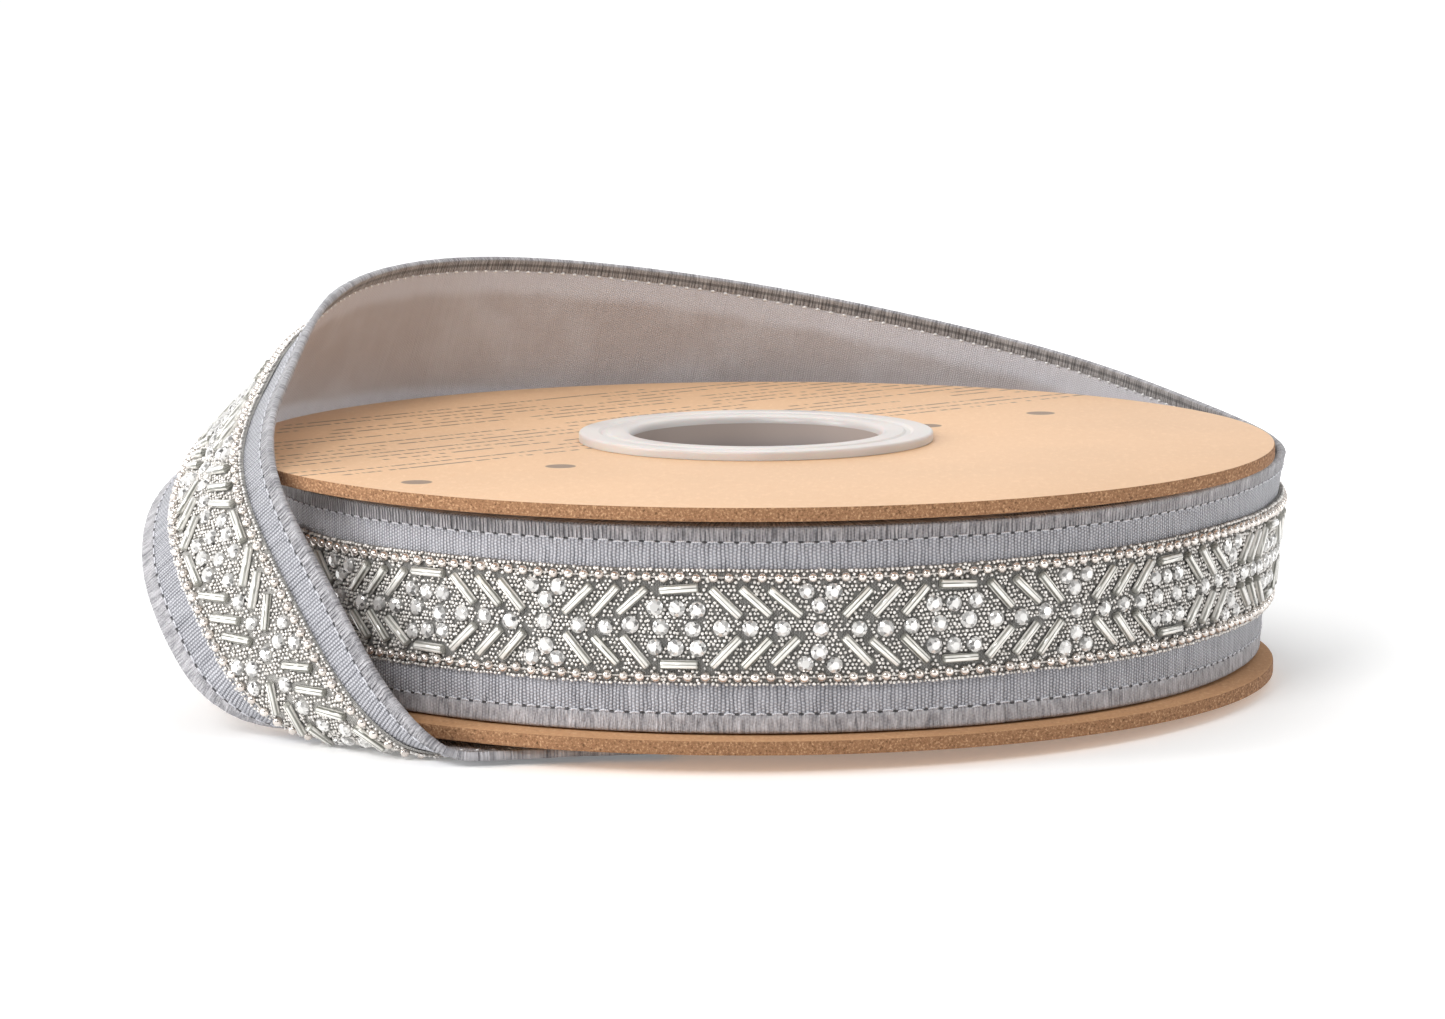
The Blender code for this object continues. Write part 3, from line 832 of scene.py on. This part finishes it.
def smallPlaces(start, end, bugles, stones, borders):
    # small beads on a jittered honeycomb, kept where they clear the bugles, stones and borders
    pitch, half, reach = band["smallPitch"], band["width"] / 2 - 0.3, band["smallRadius"]
    rows = np.arange(-half, half + 0.01, pitch * 0.87)
    s = np.arange(start + 0.5, end - 0.5, pitch)[:, None] + (np.arange(len(rows)) % 2) * pitch / 2
    grid = np.stack(np.broadcast_arrays(s, rows), -1).reshape(-1, 2)
    grid = grid + dice.normal(0, 0.09, grid.shape)
    keep = (dice.random(len(grid)) > 0.02) & (grid[:, 0] < end - 0.4)
    order = np.argsort(grid[:, 0])
    sortedS = grid[order, 0]

    def clear(x, y, degrees, halfLength, radius):
        # drops the small beads within a radius of the line that is a mark's middle
        near = order[slice(*np.searchsorted(sortedS, (x - 6, x + 6)))]
        turn = np.radians(degrees)
        offset = grid[near] - [x, y]
        u = offset @ [np.cos(turn), np.sin(turn)]
        w = offset @ [-np.sin(turn), np.cos(turn)]
        keep[near] &= np.hypot(np.maximum(np.abs(u) - halfLength, 0), w) > radius

    for x, y, degrees in zip(*bugles):
        clear(x, y, degrees, band["bugleLength"] / 2, band["bugleRadius"] + reach * 0.6)
    for marks, radius in ((stones, band["stoneRadius"]), (borders, band["borderRadius"])):
        for x, y in zip(*marks):
            clear(x, y, 0.0, 0.0, radius + reach * 0.5)
    return grid[keep]


def domeTemplate(sides, angles):
    # a pole, rings at polar angles in degrees and a flat underside: a round bead pressed in the net
    angles = np.radians(angles)[:, None]
    turn = np.linspace(0, 2 * np.pi, sides, endpoint=False)[None, :] + angles * 0.6
    rings = np.stack([np.sin(angles) * np.cos(turn), np.sin(angles) * np.sin(turn),
                      np.cos(angles) * np.ones_like(turn)], -1)
    points = np.concatenate([[[0, 0, 1]], rings.reshape(-1, 3)])
    around = np.arange(sides)
    cap = np.stack([np.zeros(sides, int), 1 + around, 1 + (around + 1) % sides], -1)
    under = (1 + (len(angles) - 1) * sides + around[::-1])[None, :]
    return points, [cap, gridFaces(len(angles), sides, roundColumns=True) + 1, under], None


def bugleTemplate(sides=12):
    # a tube along x with softened ends; its map gives the place along it and the angle round it,
    # counted from the side that lies on the net
    along = np.array([-1.0, -0.985, 0.985, 1.0])[:, None]
    radius = np.array([0.86, 1.0, 1.0, 0.86])[:, None]
    turn = np.linspace(0, 2 * np.pi, sides, endpoint=False)
    points = np.stack(np.broadcast_arrays(along, -radius * np.sin(turn), -radius * np.cos(turn)), -1)
    chart = np.stack(np.broadcast_arrays(along, turn / (2 * np.pi)), -1)
    ring = np.arange(sides)[None, :]
    faces = [gridFaces(len(along), sides, roundColumns=True), ring,
             ring[:, ::-1] + (len(along) - 1) * sides]
    return points.reshape(-1, 3), faces, chart.reshape(-1, 2)


def stoneTemplate():
    # a cut stone: an eight-sided table, eight star facets, eight kites and sixteen lower facets,
    # on a straight cup; the points are rings for the table, the stars' tips, the edge and the cup
    eight, around = np.arange(8), np.arange(16)
    edge = polar(around * 22.5, 1.0, 0.55)
    points = np.concatenate([polar(eight * 45, 0.50, 1.0), polar(eight * 45 + 22.5, 0.78, 0.82),
                             edge, edge * [1.04, 1.04, 0]])
    t, m, g, c = 0, 8, 16, 32       # where each ring starts
    after, before, onward = (eight + 1) % 8, (eight - 1) % 8, (around + 1) % 16
    return points, [
        (t + eight)[None, :],
        np.concatenate([np.stack([t + eight, m + eight, t + after], -1),
                        np.stack([m + eight, g + 2 * eight, g + 2 * eight + 1], -1),
                        np.stack([m + eight, g + 2 * eight + 1, g + 2 * after], -1)]),
        np.concatenate([np.stack([t + eight, m + before, g + 2 * eight, m + eight], -1),
                        np.stack([g + around, c + around, c + onward, g + onward], -1)]),
        (c + around[::-1])[None, :]], None


def stamp(name, template, place, axes, sizes, material, tint, smooth=True):
    # one mesh of many copies: each template point is scaled, turned by its copy's three axes and
    # set down at its copy's place
    points, blocks, chart = template
    spread = np.einsum("nij,nki->nkj", axes, points[None] * sizes[:, None, :]) + place[:, None]
    spread[..., 2] = np.maximum(spread[..., 2], floorGap)
    step = (np.arange(len(place)) * len(points))[:, None, None]
    faces = [(block[None] + step).reshape(-1, block.shape[1]) for block in blocks]
    ends = np.cumsum([len(block) for block in blocks])
    if tint.ndim == 1:
        tint = np.repeat(tint[:, None], ends[-1], axis=1)
    tint = np.concatenate([part.ravel() for part in np.split(tint, ends[:-1], axis=1)])
    return addMesh(name, spread.reshape(-1, 3), faces, material, smooth=smooth,
                   tint=tint, flat=None if chart is None else np.tile(chart, (len(place), 1)))


def axesOn(s, away, turn):
    # places on the band and their axes, turned by an angle in degrees about the cloth's normal
    point, along, normal = ribbonFrame(s, bandMiddle(s) + away)
    c, k = np.cos(np.radians(turn))[:, None], np.sin(np.radians(turn))[:, None]
    first = c * along + k * np.cross(normal, along)
    return point, np.stack([first, np.cross(normal, first), normal], axis=1)


def seat(place, normal, lift, radius):
    # raised off the cloth along its normal, and less where the band is pressed on what it lies on
    return place + normal * np.minimum(lift, roomBelow(place, normal) - radius)[:, None]


def makeBugles(part, s, away, turn):
    place, axes = axesOn(s, away, turn)
    radius = band["bugleRadius"]
    place = seat(place, axes[:, 2], band["netHeight"] + radius * 0.8, radius)
    lengths = band["bugleLength"] / 2 * (1 + dice.normal(0, 0.035, s.shape))
    sizes = np.stack([lengths, *[radius * (1 + dice.normal(0, 0.03, s.shape))] * 2], -1)
    return stamp("bugles_" + part, bugleTemplate(), place, axes, sizes, bugleGlass,
                 dice.uniform(0, 1, len(s)))


def makeStones(part, s, away):
    # each stone leans a little, and each facet has its own painted share of light, a painted glint
    place, axes = axesOn(s, away, dice.uniform(0, 360, s.shape))
    lean = unit(axes[:, 2] + 0.10 * dice.normal(0, 1, (len(s), 1)) * axes[:, 0])
    axes = np.stack([unit(np.cross(axes[:, 1], lean)), axes[:, 1], lean], axis=1)
    room = roomBelow(place, lean)
    rise = np.minimum(band["netHeight"], room - band["leastStone"])
    height = np.minimum(room - rise, band["stoneHeight"])
    sizes = np.stack([*[np.full(len(s), band["stoneRadius"])] * 2, height], -1)
    sizes[:, :2] *= 1 + dice.normal(0, 0.03, (len(s), 1))
    template = stoneTemplate()
    tint = dice.random((len(s), sum(len(block) for block in template[1]))) ** 0.62
    # the table facet is kept among the brightest, a painted highlight
    tint[:, 0] = 0.7 + 0.3 * tint[:, 0]
    return stamp("stones_" + part, template, place + lean * rise[:, None], axes, sizes, stoneGlass,
                 tint, smooth=False)


def makeBorders(part, s, away):
    place, axes = axesOn(s, away, dice.uniform(0, 360, s.shape))
    radius = band["borderRadius"] * (1 + dice.normal(0, 0.03, (len(s), 1)))
    place = seat(place, axes[:, 2], 1.0, radius[:, 0])
    return stamp("border_beads_" + part, domeTemplate(9, [24, 50, 78, 108, 140]), place, axes,
                 np.repeat(radius, 3, axis=1), roseBead, dice.uniform(0.2, 1, len(s)))


def makeSmall(part, s, away):
    place, axes = axesOn(s, away, dice.uniform(0, 360, len(s)))
    radius = band["smallRadius"] * np.clip(1 + dice.normal(0, 0.11, (len(s), 1)), 0.75, 1.3)
    lift = band["netHeight"] + radius[:, 0] * 0.5 + dice.uniform(0, 0.15, len(s))
    place = seat(place, axes[:, 2], lift, radius[:, 0])
    return stamp("small_beads_" + part, domeTemplate(5, [50, 104]), place, axes,
                 np.repeat(radius, 3, axis=1), smallBead, dice.random(len(s)))


def strandAlong(name, paths, radius, sides, material):
    # tubes of one radius along many paths with equal numbers of points: each ring is set square
    # to its path's direction, and the ends are closed
    way = unit(np.gradient(paths, axis=1))
    side = unit(np.cross(way, np.array([0.31, 0.22, 0.93])))
    lift = np.cross(side, way)
    turn = np.linspace(0, 2 * np.pi, sides, endpoint=False)[:, None]
    rings = (paths[:, :, None] + radius * (np.cos(turn) * side[:, :, None]
                                           + np.sin(turn) * lift[:, :, None]))
    count, steps = paths.shape[:2]
    faces = tubeFaces(steps, sides)[None] + (np.arange(count) * steps * sides)[:, None, None]
    return addMesh(name, rings.reshape(-1, 3), faces.reshape(-1, 4), material)


def makeBorderThread(name, start, end):
    s = np.linspace(start, end, int((end - start) * 2 / band["borderPitch"]))
    paths = []
    for away in (band["lowBorder"], band["highBorder"]):
        point, _, normal = ribbonFrame(s, bandMiddle(s) + away)
        paths.append(seat(point, normal, 0.95, 0.4))
    return strandAlong(name, np.stack(paths), 0.17, 4, beadThread)


def onPart(part, marks):
    # the marks on the roll, where s is negative, or on the loose end
    chosen = marks[0] < 0 if part == "roll" else marks[0] >= 0
    return [values[chosen] for values in marks]


def makeBeads(start, end):
    # all the beads of the ribbon: for the roll and for the loose end, a piece of each kind, the
    # small beads in two pieces that share out the stretch, and the borders' thread
    bugles = spreadChart(bugleChart, start, end, 0.16)
    stones = spreadChart(stoneChart, start, end, 0.18)[:2]
    pairs = zip(borderPlaces(start, end, band["lowBorder"], 0.0),
                borderPlaces(start, end, band["highBorder"], 0.5))
    borders = [np.concatenate(pair) for pair in pairs]
    grid = smallPlaces(start, end, bugles, stones, borders)
    made = []
    for part in ("roll", "tail"):
        made.append([makeBugles(part, *onPart(part, bugles)),
                     makeStones(part, *onPart(part, stones)),
                     makeBorders(part, *onPart(part, borders))])
        small = np.stack(onPart(part, grid.T))
        halves = np.array_split(small[:, np.argsort(small[0], kind="stable")], 2, axis=1)
        made[-1] += [makeSmall(part + "_" + label, *half) for label, half in zip("ab", halves)]
    made[0].append(makeBorderThread("bead_thread_roll", start, 0))
    made[1].append(makeBorderThread("bead_thread_tail", 0, end))
    return made


def makeNet(name, start, end, replaced):
    # the band's ground, a thin strip with rounded sides that follows the band's middle
    half = band["width"] / 2 - net["inset"]
    away = np.linspace(-half, half, net["columns"])
    away = np.concatenate([[-half - net["side"]], away, [half + net["side"]]])
    rise = np.full(len(away), band["netHeight"])
    rise[[0, -1]] = net["sideHeight"]
    s = np.linspace(start, end, int((end - start) / net["alongStep"]))[:, None]
    loops = np.concatenate([liftOff(s, bandMiddle(s) + away, rise),
                            liftOff(s, bandMiddle(s) + away[::-1], net["underside"])], axis=1)
    across = net["weavePlace"] + np.concatenate([away, away[::-1]])
    return addTube(name, loops, s, across, groundNet, replaced)


makeNet("band_net_roll", -rollLength + 0.8, 0, "trim_roll")
netTail = makeNet("band_net_tail", 0.0001, tailLength - 0.3, "trim_tail")
beadsRoll, beadsTail = makeBeads(-rollLength + band["hiddenStart"], tailLength - 0.6)
print("beads ready,", sum(len(piece.data.polygons) for piece in beadsRoll + beadsTail), "faces")


# Hem stitches

outerStitch = dict(length=2.0, radius=0.17, sink=0.16, rise=0.12)
innerStitch = dict(length=0.45, radius=0.26, sink=0.10, rise=0.14)


def makeStitches(name, start, end, stitch, thread, inside=False):
    # one strand for each stitch, a low arch whose ends go into the cloth, on its outer or its
    # inner face; the stitches of the lower seam bow more
    pitch = cloth["stitchPitch"]
    centre = np.arange(np.ceil(start / pitch), np.ceil(end / pitch))[:, None] * pitch
    t = np.linspace(-1, 1, 6)
    s = centre + t * stitch["length"] / 2
    paths = []
    for seam, bow in ((cloth["lowerSeam"], 0.28), (cloth["upperSeam"], 0.112)):
        v = seam + dice.normal(0, 0.08, centre.shape) + bow * (1 - t ** 2) - 0.1
        height = clothRise(s, v) + stitch["rise"] - stitch["sink"] * 2 * t ** 4
        paths.append(liftOff(s, v, -ribbon["clothThickness"] - height if inside else height))
    return strandAlong(name, np.concatenate(paths), stitch["radius"], 6, thread)


makeStitches("hem_stitches_roll", -rollLength + 3, -0.5, outerStitch, hemThread)
stitchesTail = makeStitches("hem_stitches_tail", -0.5, tailLength - 2, outerStitch, hemThread)
stitchesInside = makeStitches("hem_stitches_inside", 1, tailLength - 2, innerStitch, paleThread,
                              inside=True)
tailLength * mm
print("stitches ready")


# The spool

flange = dict(edgeRound=0.35, fray=0.05, wornDepth=0.5, steps=540)


def makeFlange(name, underside, replaced):
    # a disc with a softly crushed rim: the profile is turned, and waves and grain wear the rim in
    low, high = underside, underside + spool["flangeThickness"]
    outer = spool["flangeRadius"]
    outline = roundedLoop([(boreRadius, high), (outer, high), (outer, low), (boreRadius, low)],
                          [0.1, flange["edgeRound"], flange["edgeRound"], 0.1], steps=3)
    side = np.stack([np.full(4, outer), np.linspace(high - 0.7, low + 0.7, 4)], -1)
    outline = np.concatenate([outline[:8], side, outline[8:]])
    radius, height = outline.T
    turn = np.linspace(0, 2 * np.pi, flange["steps"], endpoint=False)[:, None]
    waves = (np.sin(turn * 47 + height * 3) + np.sin(turn * 83 + 1.0)
             + np.sin(turn * 131 - height * 5))
    grain = dice.normal(0, 1, waves.shape)
    onRim = np.clip((radius - outer + flange["wornDepth"]) / flange["wornDepth"], 0, 1)
    worn = flange["fray"] * onRim * (np.abs(waves) / 3 + np.abs(grain) * 0.3)
    points = turned(outline, flange["steps"])
    points[..., :2] *= (1 - worn / outer)[..., None]
    isRim = radius > outer - 0.3
    middle = (height + np.roll(height, -1)) / 2
    # the inner faces take the darker chipboard, which is partly painted shade
    isInside = middle > high - 0.3 if underside < 1 else middle < low + 0.3
    pick = np.where(isRim & np.roll(isRim, -1), 1, np.where(isInside, 2, 0))
    addTurned(name, points, 1, [boardFace, boardRim, bareBoardAndShade], replaced, pick)


hub = dict(lipRound=0.6, mouthRound=2.6, groove=(29.0, 29.5, 30.3, 30.9), grooveDepth=0.35,
           seatGap=0.02, steps=180)


def makeHub(name, outwards, face, rise, replaced):
    # half of the hub: a collar with a soft lip and a shallow groove, and a sleeve into the core
    hole, collar = spool["holeRadius"], spool["collarRadius"]
    sleeve = hole + spool["sleeveWall"]
    seat, crown = face + outwards * hub["seatGap"], face + outwards * rise
    middle = spool["height"] / 2 + outwards * spool["gap"] / 2
    lip = min(hub["lipRound"], (rise - spool["gap"]) * 0.45)
    mouth = lip * hub["mouthRound"]
    floor = crown - outwards * min(hub["grooveDepth"], lip)
    corners = [(hole, crown), *zip(hub["groove"], (crown, floor, floor, crown)), (collar, crown),
               (collar, seat), (sleeve, seat), (sleeve, middle), (hole, middle)]
    outline = roundedLoop(corners, [mouth, 0.2, 0.15, 0.15, 0.2, lip, 0.1, 0.1, 0.1, 0.3])
    depth = (crown - outline[:, 1]) * outwards
    isWall = (outline[:, 0] < hole + 0.05) & (depth > mouth * 0.8)
    addTurned(name, turned(outline, hub["steps"]), outwards, [plastic, shadedCoreWall],
              replaced, (isWall & np.roll(isWall, -1)).astype(int))


makeFlange("disc_top", spool["height"] - spool["flangeThickness"], "flange_top")
makeFlange("disc_bottom", 0.0, "flange_bottom")
makeHub("hub_collar_top", 1, spool["height"], spool["topCollarRise"], "hub_top")
makeHub("hub_collar_bottom", -1, 0.0, spool["bottomCollarRise"], "hub_bottom")
print("spool ready")


# Camera, floor and light

view = dict(place=(-4.687, -1101.668, 199.376), ahead=(-0.00143, 0.98881, -0.14917), roll=0.868,
            focalPixels=5666.1, imageWidth=1445, sensor=36.0)
# Place and size in metres, and power in watts
lamps = {
    "key": dict(place=(-0.55, -1.0, 0.80), size=(0.45, 0.45), power=8.0),
    "left strip": dict(place=(-1.2, -0.2, 0.45), size=(0.35, 0.9), power=10.0),
    "top": dict(place=(-0.02, 0.14, 0.38), size=(0.25, 0.25), power=0.5),
    "right strip": dict(place=(1.2, -0.45, 0.40), size=(0.35, 0.9), power=3.5),
}
lampAim = Vector((0, 0, 0.03))
sky = dict(high=0.58, low=0.50, behind=1.03, dark=0.12, cardFrom=0.70, cardTo=0.95,
           card=(-0.05, -0.985, 0.16))


def addObject(name, data, place):
    thing = bpy.data.objects.new(name, data)
    thing.location = place
    bpy.context.scene.collection.objects.link(thing)
    return thing


def makeCamera():
    lens = bpy.data.cameras.new("camera")
    lens.sensor_width = view["sensor"]
    lens.lens = view["focalPixels"] / view["imageWidth"] * view["sensor"]
    lens.clip_end = 20
    camera = addObject("camera", lens, np.array(view["place"]) * mm + shift)
    level = Vector(view["ahead"]).to_track_quat("-Z", "Y").to_matrix()
    roll = Matrix.Rotation(np.radians(-view["roll"]), 3, "Z")
    camera.rotation_euler = (level @ roll).to_euler()
    bpy.context.scene.camera = camera


def makeFloor():
    # white, and lit evenly far from the object by a glow that grows with distance
    mesh = bpy.data.meshes.new("floor")
    mesh.from_pydata([(-3, -3, 0), (3, -3, 0), (3, 3, 0), (-3, 3, 0)], [], [(0, 1, 2, 3)])
    material, tree = newMaterial("pale floor", (0.93, 0.93, 0.93), 0.8, emissionStrength=1.0)
    glow = ownPlace(tree).vector("LENGTH", output=1).ramp(0.09, 0.30, 0.15, 0.42)
    feedByName(tree, tree.nodes["Principled BSDF"], dict(emissionColor=glow.mix(black, white)))
    mesh.materials.append(material)
    addObject("floor", mesh, (0, 0, -0.0002))


def makeLight(name, place, size, power):
    light = bpy.data.lights.new(name, "AREA")
    light.shape = "RECTANGLE"
    light.size, light.size_y = size
    light.energy = power
    lamp = addObject(name, light, place)
    lamp.rotation_euler = (lampAim - Vector(place)).to_track_quat("-Z", "Y").to_euler()
    lamp.visible_camera = False


def makeSky():
    # white to the camera; for light and reflections it is brightest overhead, and dark round the
    # camera, as in a studio, so beads and glass have something to mirror
    world = bpy.data.worlds.new("studio")
    bpy.context.scene.world = world
    world.use_nodes = True
    tree = world.node_tree
    plain = tree.nodes["Background"]
    plain.inputs["Color"].default_value = (*white, 1)
    way = addNode(tree, "ShaderNodeTexCoord", output="Generated")
    facing = way.vector("DOT_PRODUCT", sky["card"], output=1)
    tone = way.parts()[2].ramp(-0.1, 0.8, sky["low"], sky["high"])
    around = facing.ramp(-0.25, -0.8).mix(tone.mix(black, white), (sky["behind"],) * 3)
    shade = facing.ramp(sky["cardFrom"], sky["cardTo"]).mix(around, (sky["dark"],) * 3)
    both = addNode(tree, "ShaderNodeMixShader", {
        0: addNode(tree, "ShaderNodeLightPath", output="Is Camera Ray"),
        1: addNode(tree, "ShaderNodeBackground", {"Color": shade}),
        2: Signal(tree, plain.outputs[0])})
    feed(tree, tree.nodes["World Output"].inputs["Surface"], both)


makeCamera()
makeFloor()
makeSky()
for name, lamp in lamps.items():
    makeLight(name, **lamp)
bpy.context.scene.view_settings.view_transform = "Standard"
print("studio ready")
